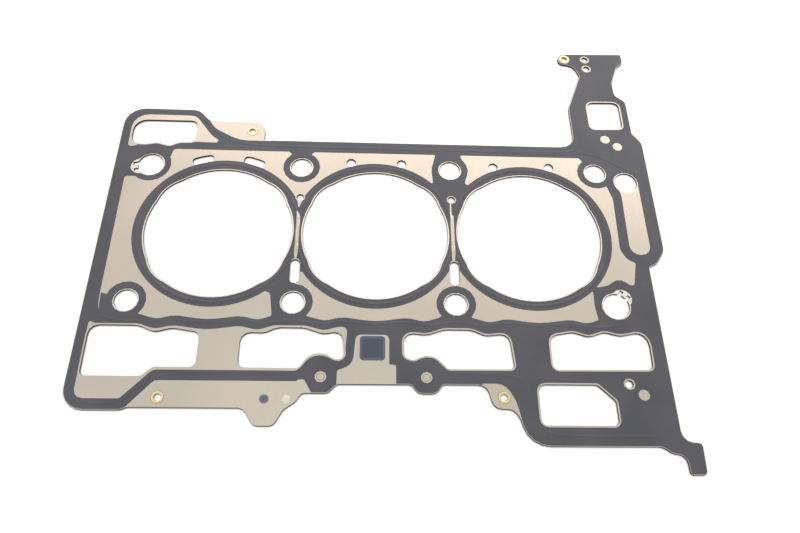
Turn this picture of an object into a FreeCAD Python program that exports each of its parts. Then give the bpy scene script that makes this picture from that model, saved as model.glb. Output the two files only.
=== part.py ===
import FreeCAD, Part
import math
import os

import Sketcher

# Cylinder head gasket for a three-cylinder engine, layered steel with a baked sealing print.
# Millimetres. +Z up, the gasket lies flat on its lower face. The origin is the centre of the
# middle bore, on the plane that the gasket rests on. +X runs along the bore row towards the tall
# end of the gasket, +Y towards its back.

# Driving sizes

SIZES = {
    "bore_radius": 43.9,
    "bridge_width": 4.2,
    "bolt_row": 46.0,
    "relief_depth": 1.2,
    "relief_radius": 22.0,
    "relief_angle": 40.0,
    "bolt_hole_radius": 7.35,
    "sleeve_hole_radius": 8.6,
    "sleeve_ring_width": 3.7,
    "oil_hole_radius": 8.0,
    "water_hole_radius": 3.1,
    "water_hole_offset": 8.5,
    "bridge_hole_radius": 2.4,
    "bridge_slot_radius": 2.9,
    "service_hole_radius": 2.4,
    "bare_disc_radius": 3.2,
    "slot_print_margin": 0.6,
    "bridge_slot_length": 15.4,
    "arched_slot_width": 4.9,
    "arched_slot_offset": 5.9,
    "carrier_thickness": 1.2,
    "sheet_thickness": 0.3,
    "print_thickness": 0.1,
    "bead_height": 0.3,
    "bead_width": 2.4,
    "bead_offset": 2.8,
    "ledge": 0.8,
    "bore_ring_width": 5.7,
    "bolt_ring_width": 4.0,
    "rim_width": 0.9,
    "edge_margin": 0.3,
    "eyelet_hole_radius": 2.1,
    "eyelet_wall": 0.45,
    "eyelet_clearance": 0.05,
    "eyelet_flange_radius": 3.4,
    "eyelet_flange_thickness": 0.25,
    "tongue_width": 2.6,
    "tongue_slot_width": 2.2,
    "tongue_slot_depth": 2.6,
    "tongue_window_radius": 5.9,
    "tongue_window_offset": 6.4,
    "code_field_width": 13.9,
    "code_field_corner": 1.8,
    "code_field_side_margin": 2.2,
    "code_field_back_margin": 0.8,
    "code_field_length": 14.2,
    "register_dot_radius": 2.5,
    "ink_thickness": 0.05,
}

doc = FreeCAD.newDocument("head_gasket")
sheet = doc.addObject("Spreadsheet::Sheet", "Sizes")
for row, (alias, value) in enumerate(SIZES.items(), start=1):
    sheet.set("A%d" % row, alias)
    sheet.set("B%d" % row, str(value))
    sheet.setAlias("B%d" % row, alias)
doc.recompute()


def size(alias):
    """Read one driving size from the sheet."""
    return float(sheet.get(alias))


# Places worked out from the driving sizes

PITCH = 2 * size("bore_radius") + size("bridge_width")
BORES = (-PITCH, 0.0, PITCH)
COL1, COL2, COL3, COL4 = -1.5 * PITCH, -0.5 * PITCH, 0.5 * PITCH, 1.5 * PITCH
BACK = size("bolt_row")
FRONT = -size("bolt_row")
WATER_RADIUS = size("bore_radius") + size("water_hole_offset")
SHEET_BOTTOM = size("carrier_thickness")
SHEET_TOP = SHEET_BOTTOM + size("sheet_thickness")
EYELETS = {
    "eyelet_back_left": (COL2 - 32.5, BACK + 26.9),
    "eyelet_front_left": (COL1 + 25.5, FRONT - 55.4),
    "eyelet_front_right": (COL3 + 23.2, FRONT - 54.4),
    "eyelet_tall_end": (COL4 - 8.7, BACK + 95.6),
}
BOSSES = ((COL2 + 17.4, FRONT - 43.6), (COL3 - 17.9, FRONT - 43.6))
BARE_DISCS = BOSSES + ((COL4 + 10.3, BACK + 26.8), (COL4 + 17.6, BACK + 21.3), (COL4 + 7.2, FRONT - 52.5))
OIL_HOLE = (COL4 + 18.8, BACK - 6.6)
CODE_FIELD_CENTRE = (-1.1, FRONT - 27.1)
REGISTER_DOT = (COL2 - 11.5, FRONT - 56.0)
SLEEVE_BOLTS = ((COL1, BACK), (COL4, FRONT))
PLAIN_BOLTS = [(x, y) for x in (COL1, COL2, COL3, COL4) for y in (BACK, FRONT) if (x, y) not in SLEEVE_BOLTS]


# Outlines: each corner is (x, y, radius of its rounding)

def wave(bore_x, near_y):
    """The rippled edge below one bore, from left to right, for a strip edge at near_y."""
    ripple = ((-27.7, -2.3, 9), (-18.2, 0.1, 10), (0, -2.5, 40), (18.2, 0.1, 10), (27.7, -2.3, 9))
    return [(bore_x + dx, near_y + dy, radius) for dx, dy, radius in ripple]


OUTLINE = [
    (COL1 - 23.4, FRONT - 62.2, 11.5), (COL1 + 7.4, FRONT - 62.2, 3), (COL1 + 10.4, FRONT - 60.8, 3),
    (COL2 - 22.0, FRONT - 60.8, 5), (COL2 - 16.0, FRONT - 70.2, 3.5), (COL2 - 6.0, FRONT - 70.2, 3.5),
    (COL2 - 1.2, FRONT - 61.6, 4), (COL2 + 4.8, FRONT - 57.4, 4), (COL2 + 7.8, FRONT - 52.6, 3),
    (COL2 + 21.6, FRONT - 52.6, 4), (COL2 + 26.2, FRONT - 47.6, 3), (COL3 - 25.8, FRONT - 47.5, 3),
    (COL3 - 23.0, FRONT - 52.6, 5), (COL3 - 12.4, FRONT - 52.6, 5), (COL3 - 9.4, FRONT - 47.4, 2.5),
    (COL3 + 14.5, FRONT - 47.4, 6), (COL3 + 17.4, FRONT - 60.6, 5.5), (COL3 + 27.6, FRONT - 60.6, 5),
    (COL3 + 31.0, FRONT - 65.4, 6), (COL3 + 35.0, FRONT - 80.2, 14), (COL4 + 12.4, FRONT - 80.2, 6),
    (COL4 + 17.4, FRONT - 83.8, 4), (COL4 + 24.5, FRONT - 84.4, 5), (COL4 + 24.6, FRONT - 94.6, 1.5),
    (COL4 + 33.3, FRONT - 94.6, 1.8), (COL4 + 33.9, FRONT - 78.0, 2), (COL4 + 23.6, FRONT - 77.8, 6),
    (COL4 + 23.4, FRONT + 26.0, 2.5), (COL4 + 28.6, FRONT + 28.0, 5), (COL4 + 34.3, FRONT + 36.6, 9),
    (COL4 + 34.2, BACK + 24.6, 7), (COL4 + 28.8, BACK + 32.3, 2), (COL4 + 28.6, BACK + 58.9, 4),
    (COL4 + 22.0, BACK + 64.2, 5), (COL4 + 21.8, BACK + 75.0, 8), (COL4 + 27.0, BACK + 89.4, 2),
    (COL4 + 31.8, BACK + 93.6, 1.2), (COL4 + 31.9, BACK + 101.4, 1.2), (COL4 - 13.1, BACK + 100.0, 4.4),
    (COL4 - 13.1, BACK + 91.3, 3.5), (COL4 - 3.0, BACK + 89.8, 7), (COL4 + 0.4, BACK + 81.0, 2.5),
    (COL4 - 10.7, BACK + 52.0, 14), (COL4 - 10.5, BACK + 20.0, 9), (COL2 - 24.6, BACK + 20.0, 0.8),
    (COL2 - 24.9, BACK + 34.0, 7), (COL1 + 32.6, BACK + 34.0, 5), (COL1 + 24.4, BACK + 43.0, 8),
    (COL1 - 21.3, BACK + 43.3, 12.5),
]

WINDOW_BACK_LEFT = [
    (COL1 - 14.9, BACK + 34.2, 8), (COL1 - 14.9, BACK + 15.4, 5.5), (COL1 - 5.0, BACK + 15.3, 6),
    (COL1 + 1.6, BACK + 16.7, 5), (COL1 + 9.4, BACK + 14.3, 4), (COL1 + 14.5, BACK + 17.3, 6),
    (COL1 + 24.7, BACK + 17.5, 3), (COL1 + 24.7, BACK + 34.2, 4),
]
WINDOW_TALL_END = [
    (COL4 + 2.0, BACK + 35.4, 3), (COL4 + 23.4, BACK + 36.0, 3), (COL4 + 23.6, BACK + 58.0, 4),
    (COL4 + 2.0, BACK + 57.6, 4),
]
WINDOW_FRONT_1 = (
    [(COL1 - 16.9, FRONT - 44.0, 2.5), (COL1 - 16.9, FRONT - 14.9, 5.5), (COL1 + 9.5, FRONT - 14.9, 8)]
    + [(COL1 + 18.3, FRONT - 18.9, 7), (COL1 + 27.6, FRONT - 16.3, 7), (COL1 + 42.9, FRONT - 18.8, 3.5)]
    + [(COL1 + 42.9, FRONT - 38.8, 3.5), (COL1 + 20.6, FRONT - 38.8, 2), (COL1 + 15.0, FRONT - 44.0, 3)]
)
WINDOW_FRONT_2 = (
    [(COL2 - 27.1, FRONT - 38.8, 3.5), (COL2 - 27.1, FRONT - 18.3, 5.5), (COL2 - 14.0, FRONT - 18.7, 6)]
    + [(COL2 - 7.6, FRONT - 15.4, 7), (COL2 + 7.4, FRONT - 15.4, 7), (COL2 + 17.6, FRONT - 18.9, 8)]
    + [(COL2 + 28.4, FRONT - 17.2, 4.5), (COL2 + 30.1, FRONT - 34.8, 3.4)]
    + [(COL2 + 24.2, FRONT - 33.4, 4)]
    + [(COL2 + 17.5, FRONT - 29.4, 10), (COL2 + 10.5, FRONT - 31.6, 8), (COL2 + 5.3, FRONT - 38.8, 2.5)]
)
WINDOW_FRONT_3 = (
    [(COL3 - 6.0, FRONT - 38.8, 2.5), (COL3 - 12.0, FRONT - 32.4, 8), (COL3 - 18.0, FRONT - 30.4, 9)]
    + [(COL3 - 24.6, FRONT - 34.0, 3.5), (COL3 - 30.1, FRONT - 32.0, 3.5)]
    + [(COL3 - 30.1, FRONT - 17.6, 5)]
    + [(COL3 - 17.0, FRONT - 19.0, 8), (COL3 - 7.4, FRONT - 15.6, 7), (COL3 + 7.6, FRONT - 15.6, 7)]
    + [(COL3 + 15.6, FRONT - 19.1, 6), (COL3 + 28.6, FRONT - 17.6, 5), (COL3 + 30.5, FRONT - 38.6, 2.5)]
)
WINDOW_FRONT_4 = (
    [(COL4 - 40.7, FRONT - 38.7, 3.5), (COL4 - 40.7, FRONT - 18.6, 5), (COL4 - 27.0, FRONT - 16.3, 7)]
    + [(COL4 - 18.6, FRONT - 19.2, 7), (COL4 - 9.4, FRONT - 16.1, 6), (COL4 - 0.6, FRONT - 18.4, 8)]
    + [(COL4 + 12.8, FRONT - 15.6, 6), (COL4 + 15.3, FRONT - 23.0, 8), (COL4 + 15.0, FRONT - 38.3, 3)]
)
WINDOW_FRONT_5 = [
    (COL4 - 50.0, FRONT - 69.4, 3.5), (COL4 - 50.0, FRONT - 46.9, 4), (COL4 - 17.6, FRONT - 46.9, 2.5),
    (COL4 - 8.4, FRONT - 56.0, 3), (COL4 - 8.4, FRONT - 69.4, 3),
]
WINDOWS = [
    WINDOW_BACK_LEFT, WINDOW_TALL_END, WINDOW_FRONT_1, WINDOW_FRONT_2, WINDOW_FRONT_3, WINDOW_FRONT_4,
    WINDOW_FRONT_5,
]

# Fields of the upper face that the print leaves bare. The print rings are laid over them afterwards.

FIELD_MAIN_LEFT = (
    [(COL1 - 14.3, BACK - 9.1, 1.5), (COL1 - 14.6, FRONT + 4.5, 1.5), (COL1, FRONT, 0)]
    + [(COL1, FRONT - 5.0, 0)]
    + [(COL1 + 8.6, FRONT - 8.4, 1)] + wave(BORES[0], FRONT - 9.0) + [(COL2 - 11.0, FRONT - 8.6, 1)]
    + [(COL2 - 12.9, FRONT + 5.5, 2.5), (COL2 - 20.0, FRONT + 8.0, 0), (BORES[0], 0, 0)]
    + [(COL2 - 2.9, BACK - 24.5, 0), (COL2 + 2.9, BACK - 24.5, 0), (BORES[1], 0, 0)]
    + [(COL3 - 20.0, BACK - 12.0, 0), (COL3 - 10.6, BACK - 10.2, 1.6), (COL3 - 11.6, BACK, 10)]
    + [(COL3 - 8.6, BACK + 11.6, 1), (COL2 + 7.0, BACK + 11.6, 1), (COL2, BACK, 0)]
    + [(COL2 - 8.0, BACK + 11.6, 1)]
    + [(COL1 + 12.4, BACK + 11.8, 2), (COL1 + 10.0, BACK, 0), (COL1, BACK, 0)]
    + [(COL1 + 1.0, BACK - 9.1, 0)]
)
FIELD_MAIN_RIGHT = (
    [(COL3 + 6.6, BACK + 11.6, 1), (COL3 + 11.6, BACK, 10), (COL3 + 8.6, BACK - 10.6, 1.6)]
    + [(COL3 + 20.0, BACK - 12.0, 0)]
    + [(BORES[2], 0, 0), (COL4 - 12.0, FRONT + 14.0, 0), (COL4 - 9.6, FRONT + 11.6, 1.2)]
    + [(COL4 - 3.0, FRONT + 13.0, 4), (COL4 + 4.0, FRONT + 18.2, 6), (COL4 + 10.0, FRONT + 13.4, 1.6)]
    + [(COL4 + 12.6, FRONT + 13.4, 1.2), (COL4 + 15.7, FRONT + 28.2, 1.2)]
    + [(COL4 + 11.0, FRONT + 30.6, 4)]
    + [(COL4 + 7.7, FRONT + 37.0, 5), (COL4 + 8.7, BACK - 19.0, 8), (COL4 + 6.0, BACK - 9.7, 1.5)]
    + [(COL4, BACK, 0)]
    + [(COL4 - 9.0, BACK + 11.5, 1)]
)
FIELD_FRONT_MIDDLE = (
    [(COL2 + 0.5, FRONT + 12.0, 0), (COL2 + 2.9, FRONT + 19.0, 0), (COL2 + 7.0, FRONT + 19.5, 0)]
    + [(BORES[1], 0, 0)]
    + [(COL3 - 3.4, FRONT + 22.0, 0), (COL3 + 3.4, FRONT + 22.0, 0), (BORES[2], 0, 0)]
    + [(COL4 - 18.0, FRONT + 9.0, 0), (COL4 - 12.3, FRONT + 9.4, 1.2), (COL4 - 12.7, FRONT, 10)]
    + [(COL4 - 11.6, FRONT - 8.8, 1)] + wave(BORES[2], FRONT - 9.0)[::-1] + [(COL3 + 8.6, FRONT - 8.5, 1)]
    + [(COL3, FRONT, 0), (COL3 - 10.2, FRONT - 8.7, 1)] + wave(BORES[1], FRONT - 9.0)[::-1]
    + [(COL2 + 8.4, FRONT - 8.6, 1), (COL2, FRONT, 0)]
)
FIELD_OIL = [
    (COL4 + 13.6, FRONT + 33.7, 6), (COL4 + 26.3, FRONT + 33.7, 6), (COL4 + 26.3, BACK - 6.6, 0),
    (COL4 + 11.8, BACK - 6.6, 3), (COL4 + 14.4, BACK - 16.0, 6),
]
FIELD_BACK_LEFT = [
    (COL1 - 16.2, BACK + 38.6, 10), (COL1 - 16.2, BACK + 13.3, 1.5), (COL1 - 12.4, BACK + 13.3, 2),
    (COL1 - 6.0, BACK + 17.0, 0), (COL1 + 20.0, BACK + 17.6, 0), (COL1 + 38.7, BACK + 17.2, 1.2),
    (COL1 + 38.9, BACK + 19.6, 1.5), (COL1 + 34.6, BACK + 22.6, 8), (COL1 + 23.0, BACK + 38.3, 6),
]
FIELD_BACK_EAR = [
    (COL1 + 29.5, BACK + 38.7, 0), (COL1 + 35.5, BACK + 28.6, 14), (COL2 - 40.0, BACK + 19.4, 22),
    (COL2 - 20.0, BACK + 19.4, 0), (COL2 - 20.0, BACK + 46.0, 0), (COL1 + 29.5, BACK + 46.0, 0),
]
FIELD_FRONT_LEFT = (
    [(COL1 - 17.7, FRONT - 56.3, 5), (COL1 - 17.5, FRONT - 11.6, 1.2), (COL1 - 14.6, FRONT - 14.0, 2)]
    + [(COL1 + 9.5, FRONT - 14.0, 6)] + wave(BORES[0], FRONT - 14.9) + [(COL2 - 9.0, FRONT - 14.2, 6)]
    + [(COL2 + 8.0, FRONT - 14.2, 6), (COL2 + 18.0, FRONT - 17.0, 8), (COL2 + 26.6, FRONT - 14.6, 6)]
    + [(COL2 + 31.0, FRONT - 14.9, 2.5), (COL2 + 30.4, FRONT - 26.0, 0), (COL2 + 29.0, FRONT - 31.0, 0)]
    + [(COL2 + 24.6, FRONT - 34.6, 3), (COL2 + 17.5, FRONT - 30.6, 10), (COL2 + 11.0, FRONT - 33.0, 8)]
    + [(COL2 + 4.6, FRONT - 40.4, 2), (COL1 + 21.0, FRONT - 40.4, 5), (COL1 + 6.2, FRONT - 56.3, 1.5)]
)
FIELD_FRONT_EAR = [
    (COL1 + 7.0, FRONT - 64.0, 0), (COL1 + 22.6, FRONT - 46.2, 4), (COL2 + 4.5, FRONT - 46.2, 1),
    (COL2 + 6.0, FRONT - 45.2, 0.5), (COL2 + 8.8, FRONT - 45.2, 0.8), (COL2 + 13.6, FRONT - 53.6, 8),
    (COL2 + 14.0, FRONT - 76.0, 0), (COL1 + 7.0, FRONT - 76.0, 0),
]
MARK_LEFT = CODE_FIELD_CENTRE[0] - size("code_field_width") / 2 - size("code_field_side_margin")
MARK_RIGHT = CODE_FIELD_CENTRE[0] + size("code_field_width") / 2 + size("code_field_side_margin")
MARK_BACK = CODE_FIELD_CENTRE[1] + size("code_field_length") / 2 + size("code_field_back_margin")
MARK_FRONT = CODE_FIELD_CENTRE[1] - size("code_field_length") / 2 - size("code_field_side_margin")
FIELD_MIDDLE = [
    (COL2 + 26.0, FRONT - 50.0, 0), (COL2 + 26.0, FRONT - 40.0, 1), (MARK_LEFT - 1.4, MARK_FRONT - 0.2, 7),
    (MARK_LEFT, MARK_BACK, 3), (MARK_RIGHT, MARK_BACK, 2.5), (MARK_RIGHT, MARK_FRONT, 0.5),
    (MARK_RIGHT + 3.7, MARK_FRONT - 0.2, 1), (MARK_RIGHT + 3.7, FRONT - 50.0, 0),
]
FIELD_FRONT_RIGHT_EAR = [
    (COL3 + 12.0, FRONT - 46.7, 0), (COL3 + 24.0, FRONT - 46.7, 8), (COL3 + 29.6, FRONT - 56.0, 20),
    (COL3 + 32.0, FRONT - 68.0, 0), (COL3 + 12.0, FRONT - 68.0, 0),
]
FIELD_SLIVER = [
    (COL1 - 14.6, FRONT + 5.5, 0), (COL1 - 14.3, FRONT - 3.0, 6), (COL1 - 13.2, FRONT - 6.4, 0),
    (COL1 - 13.8, FRONT - 2.6, 6), (COL1 - 13.9, FRONT + 5.5, 0),
]
BRIDGE_LEFT = [
    (COL2 - 1.1, FRONT + 30.5, 0), (COL2 - 0.6, FRONT + 27.0, 0), (COL2 + 0.3, FRONT + 27.0, 0),
    (COL2 + 1.1, FRONT + 31.8, 0), (COL2 + 1.1, BACK - 35.4, 0), (COL2 - 0.9, BACK - 31.6, 0),
    (COL2 - 1.1, BACK - 33.0, 0),
]
BRIDGE_LEFT_TIP = [
    (COL2 - 1.5, BACK - 23.5, 0), (COL2 - 0.4, BACK - 29.4, 0), (COL2 + 0.2, BACK - 29.2, 0),
    (COL2 + 2.2, BACK - 23.5, 0),
]
BRIDGE_RIGHT = [
    (COL3 - 1.2, FRONT + 30.5, 0), (COL3 - 0.9, FRONT + 27.0, 0), (COL3 + 0.3, FRONT + 27.0, 0),
    (COL3 + 1.0, FRONT + 32.0, 0), (COL3 + 1.0, BACK - 33.8, 0), (COL3 - 0.1, BACK - 32.8, 0),
    (COL3 - 0.1, BACK - 23.5, 0), (COL3 - 1.1, BACK - 23.5, 0),
]
FIELDS = [
    FIELD_MAIN_LEFT, FIELD_MAIN_RIGHT, FIELD_FRONT_MIDDLE, FIELD_OIL, FIELD_BACK_LEFT, FIELD_BACK_EAR,
    FIELD_FRONT_LEFT, FIELD_FRONT_EAR, FIELD_MIDDLE, FIELD_FRONT_RIGHT_EAR,
]
THIN_FIELDS = [BRIDGE_LEFT, BRIDGE_LEFT_TIP, BRIDGE_RIGHT, FIELD_SLIVER]


# Outline geometry

UP = FreeCAD.Vector(0, 0, 1)
CHORD_ERROR = 0.2
SHARPEST = 0.6


def chords(radius, turn):
    """Return how many short chords draw an arc of this radius and turn."""
    return max(1, math.ceil(turn / (2 * math.acos(1 - CHORD_ERROR / max(radius, SHARPEST)))))


def corner(before, here, after, radius):
    """Return the points of one rounded corner, from the arc's start to its end."""
    point = FreeCAD.Vector(here[0], here[1], 0)
    to_before = (FreeCAD.Vector(before[0], before[1], 0) - point).normalize()
    to_after = (FreeCAD.Vector(after[0], after[1], 0) - point).normalize()
    half = to_before.getAngle(to_after) / 2
    if radius == 0 or half > 1.55:
        return [point]
    centre = point + (to_before + to_after).normalize() * (radius / math.sin(half))
    spoke = point + to_before * (radius / math.tan(half)) - centre
    steps = chords(radius, math.pi - 2 * half)
    side = 1 if to_before.cross(to_after).z < 0 else -1
    step = side * math.degrees(math.pi - 2 * half) / steps
    return [centre + FreeCAD.Rotation(UP, step * i).multVec(spoke) for i in range(steps + 1)]


def rounded(points):
    """Return the sides of a closed outline with its corners rounded by short chords."""
    ends = []
    for i, here in enumerate(points):
        ends += corner(points[i - 1], here, points[(i + 1) % len(points)], here[2])
    pairs = zip(ends, ends[1:] + ends[:1])
    return [Part.LineSegment(a, b) for a, b in pairs if (b - a).Length > 1e-6]


def round_mark(x, y, radius):
    """Return a small round opening as an outline of short chords."""
    steps = chords(radius, 2 * math.pi)
    turns = [2 * math.pi * i / steps for i in range(steps)]
    return rounded([(x + radius * math.cos(t), y + radius * math.sin(t), 0) for t in turns])


def turning(points):
    """Return +1 for an outline that runs counter-clockwise and -1 for a clockwise one."""
    area = 0.0
    for i, (x, y, _) in enumerate(points):
        after = points[(i + 1) % len(points)]
        area += x * after[1] - after[0] * y
    return 1 if area > 0 else -1


def grown(points, distance):
    """Return the outline moved outwards by a distance, or inwards by a negative one."""
    side = turning(points)
    count = len(points)
    moved = []
    for i, (x, y, radius) in enumerate(points):
        ahead = points[(i + 1) % count]
        behind = points[i - 1]
        first = FreeCAD.Vector(x - behind[0], y - behind[1], 0).normalize()
        second = FreeCAD.Vector(ahead[0] - x, ahead[1] - y, 0).normalize()
        bend = first.x * second.y - first.y * second.x
        outward = FreeCAD.Vector(first.y + second.y, -first.x - second.x, 0).normalize() * side
        reach = distance / (outward.dot(FreeCAD.Vector(first.y, -first.x, 0)) * side)
        new_radius = radius + distance if bend * side > 0 else radius - distance
        moved.append((x + outward.x * reach, y + outward.y * reach, max(new_radius, 0) if radius else 0))
    return moved


def box_points(x, y, direction, length, width):
    """Return a rectangle that starts at a point and runs along a direction in degrees."""
    along = FreeCAD.Vector(math.cos(math.radians(direction)), math.sin(math.radians(direction)), 0)
    across = FreeCAD.Vector(-along.y, along.x, 0) * (width / 2)
    near = FreeCAD.Vector(x, y, 0)
    far = near + along * length
    return [(v.x, v.y, 0) for v in (near - across, far - across, far + across, near + across)]


def arched_slot(bore_x, first_angle, last_angle):
    """Return a slot that follows a bore, with its far corners rounded."""
    inner = size("bore_radius") + size("arched_slot_offset")
    outer = inner + size("arched_slot_width")
    points = []
    places = (
        (inner, first_angle, 0.0), (outer, first_angle, 2.0), (outer, last_angle, 2.0),
        (inner, last_angle, 0.0),
    )
    for distance, angle, radius in places:
        turn = math.radians(angle)
        points.append((bore_x + distance * math.cos(turn), distance * math.sin(turn), radius))
    middle = math.radians((first_angle + last_angle) / 2)
    points.insert(2, (bore_x + (outer + 0.4) * math.cos(middle), (outer + 0.4) * math.sin(middle), 20.0))
    return rounded(points)


# Sketches and features

def new_body(label):
    """Add an empty body whose label is the name of its part."""
    body = doc.addObject("PartDesign::Body", label)
    body.Label = label
    return body


def new_sketch(body, name, height, role="XY_Plane"):
    """Add a sketch on a plane of the body, raised by a formula of the sheet."""
    drawing = body.newObject("Sketcher::SketchObject", name)
    plane = [feature for feature in body.Origin.OriginFeatures if feature.Role == role][0]
    drawing.AttachmentSupport = [(plane, "")]
    drawing.MapMode = "FlatFace"
    axis = "z" if role == "XY_Plane" else "y"
    drawing.setExpression("AttachmentOffset.Base.%s" % axis, height)
    return drawing


def outline_sketch(body, name, height, outlines):
    """Add a sketch that holds closed outlines."""
    drawing = new_sketch(body, name, height)
    drawing.addGeometry([piece for pieces in outlines for piece in pieces], False)
    return drawing


def add_circles(drawing, groups):
    """Draw groups of equal circles, each group with one radius formula of the sheet."""
    circles = [(x, y, radius) for places, radius in groups for x, y in places]
    drawn = [Part.Circle(FreeCAD.Vector(x, y, 0), UP, 1.0) for x, y, _ in circles]
    numbers = drawing.addGeometry(drawn, False)
    rules = []
    for number, (x, y, _) in zip(numbers, circles):
        rules.append(Sketcher.Constraint("DistanceX", -1, 1, number, 3, x))
        rules.append(Sketcher.Constraint("DistanceY", -1, 1, number, 3, y))
        rules.append(Sketcher.Constraint("Radius", number, 1.0))
    first = drawing.ConstraintCount
    drawing.addConstraint(rules)
    for place, (_, _, radius) in enumerate(circles):
        drawing.setExpression("Constraints[%d]" % (first + 3 * place + 2), radius)


def pad(body, drawing, length):
    """Raise a sketch by a formula of the sheet."""
    feature = body.newObject("PartDesign::Pad", drawing.Name + "_pad")
    feature.Profile = drawing
    feature.setExpression("Length", length)
    feature.Refine = False
    drawing.Visibility = False
    body.Tip = feature
    return feature


def pocket(body, drawing):
    """Cut a sketch through the whole body, both ways."""
    feature = body.newObject("PartDesign::Pocket", drawing.Name + "_cut")
    feature.Profile = drawing
    feature.Type = "ThroughAll"
    feature.Midplane = True
    feature.Refine = False
    drawing.Visibility = False
    body.Tip = feature
    return feature


def bead_sketch(body, name, height, depth):
    """Add the section of one bead beside the left bore, with its foot at a height."""
    drawing = new_sketch(body, name, height, "XZ_Plane")
    drawing.setExpression("AttachmentOffset.Base.x", "-(2 * Sizes.bore_radius + Sizes.bridge_width)")
    centre = size("bore_radius") + size("bead_offset")
    foot = size("bead_width") / 2
    section = [
        (centre - foot, -depth), (centre - foot, 0), (centre, size("bead_height")), (centre + foot, 0),
        (centre + foot, -depth),
    ]
    drawing.addGeometry(rounded([(r, z, 0) for r, z in section]), False)
    return drawing


def ring_beads(body, name, kind, height, depth):
    """Turn the bead section about the left bore and repeat it at the other bores."""
    drawing = bead_sketch(body, name, height, depth)
    feature = body.newObject("PartDesign::" + kind, name + "_ring")
    feature.Profile = drawing
    feature.ReferenceAxis = (drawing, ["V_Axis"])
    feature.Angle = 360.0
    feature.Refine = False
    drawing.Visibility = False
    body.Tip = feature
    row_of_three = body.newObject("PartDesign::LinearPattern", name + "_row")
    row_of_three.Originals = [feature]
    row_of_three.Direction = (drawing, ["H_Axis"])
    row_of_three.setExpression("Length", "2 * (2 * Sizes.bore_radius + Sizes.bridge_width)")
    row_of_three.Occurrences = 3
    row_of_three.Refine = False
    body.Tip = row_of_three
    return row_of_three


# Openings that several layers share

SERVICE_HOLES = ((COL4 + 0.1, FRONT - 46.4), (COL4 + 5.6, BACK + 95.7), (COL4 + 5.8, BACK + 87.4))
BRIDGE_HOLES = ((COL2 + 0.4, BACK - 22.2), (COL3 + 0.1, BACK - 22.0))
BRIDGE_SLOTS = (COL2, COL3)
TONGUES = ((COL1, BACK, 192.0), (COL4, FRONT, 51.0))
WATER_HOLES = [
    (bore_x + WATER_RADIUS * math.cos(math.radians(angle)), WATER_RADIUS * math.sin(math.radians(angle)))
    for bore_x, angle in ((BORES[1], 107.2), (BORES[1], 72.4), (BORES[2], 110.8), (BORES[2], 71.3))
]
SMALL_HOLES = (
    (WATER_HOLES, "water_hole_radius"), (BRIDGE_HOLES, "bridge_hole_radius"),
    (SERVICE_HOLES, "service_hole_radius"),
)
ARCHED_SLOTS = ((BORES[0], 63.5, 78.5), (BORES[0], 99.0, 113.5))


def bore_outline(bore_x, step):
    """Return the arcs of a bore opening with its four reliefs, made smaller by a step."""
    radius = size("bore_radius") - step
    relief = size("relief_radius") - step
    reach = size("bore_radius") + size("relief_depth") - size("relief_radius")
    half = math.acos((radius ** 2 + reach ** 2 - relief ** 2) / (2 * radius * reach))
    lean = math.radians(size("relief_angle"))
    middles = [lean, math.pi - lean, math.pi + lean, 2 * math.pi - lean, 2 * math.pi + lean]

    def at(angle, distance):
        return FreeCAD.Vector(bore_x + distance * math.cos(angle), distance * math.sin(angle), 0)

    arcs = []
    for here, after in zip(middles, middles[1:]):
        start = at(here + half, radius)
        arcs.append(Part.Arc(at(here - half, radius), at(here, reach + relief), start))
        arcs.append(Part.Arc(start, at((here + after) / 2, radius), at(after - half, radius)))
    return arcs


def bridge_slot(x):
    """Return the outline of the long slot in one bridge, with round ends."""
    half = size("bridge_slot_radius")
    reach = size("bridge_slot_length") / 2
    middle = FRONT + 19.5
    corners = [(sign_x, sign_y) for sign_y, sign_x in ((-1, -1), (-1, 1), (1, 1), (1, -1))]
    return rounded([(x + sign_x * half, middle + sign_y * reach, half - 0.1) for sign_x, sign_y in corners])


def grown_slot(x):
    """Return the bare field round one bridge slot: its sides, and a margin round its back end."""
    half = size("bridge_slot_radius")
    margin = size("slot_print_margin")
    reach = size("bridge_slot_length") / 2
    middle = FRONT + 19.5
    return rounded([
        (x - half, middle - reach, half - 0.1), (x + half, middle - reach, half - 0.1),
        (x + half, middle + reach - half, 0), (x + half + margin, middle + reach - half, 0),
        (x + half + margin, middle + reach + margin, half),
        (x - half - margin, middle + reach + margin, half),
        (x - half - margin, middle + reach - half, 0), (x - half, middle + reach - half, 0),
    ])


def layer_openings(step):
    """Return the outlines of the bores, windows, slots and small holes of a metal layer."""
    outlines = [bore_outline(x, step) for x in BORES]
    outlines += [rounded(window) for window in WINDOWS]
    outlines += [bridge_slot(x) for x in BRIDGE_SLOTS]
    outlines += [arched_slot(*place) for place in ARCHED_SLOTS]
    for places, alias in SMALL_HOLES:
        outlines += [round_mark(x, y, size(alias)) for x, y in places]
    return outlines


def layer_circles(step):
    """Return the places and radius formulas of the bolt, oil and eyelet holes of a metal layer."""
    return [
        (PLAIN_BOLTS, "Sizes.bolt_hole_radius" + step),
        (SLEEVE_BOLTS, "Sizes.sleeve_hole_radius" + step),
        ([OIL_HOLE], "Sizes.oil_hole_radius" + step),
        (EYELETS.values(), "Sizes.eyelet_hole_radius + Sizes.eyelet_wall + Sizes.eyelet_clearance"),
    ]


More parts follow.
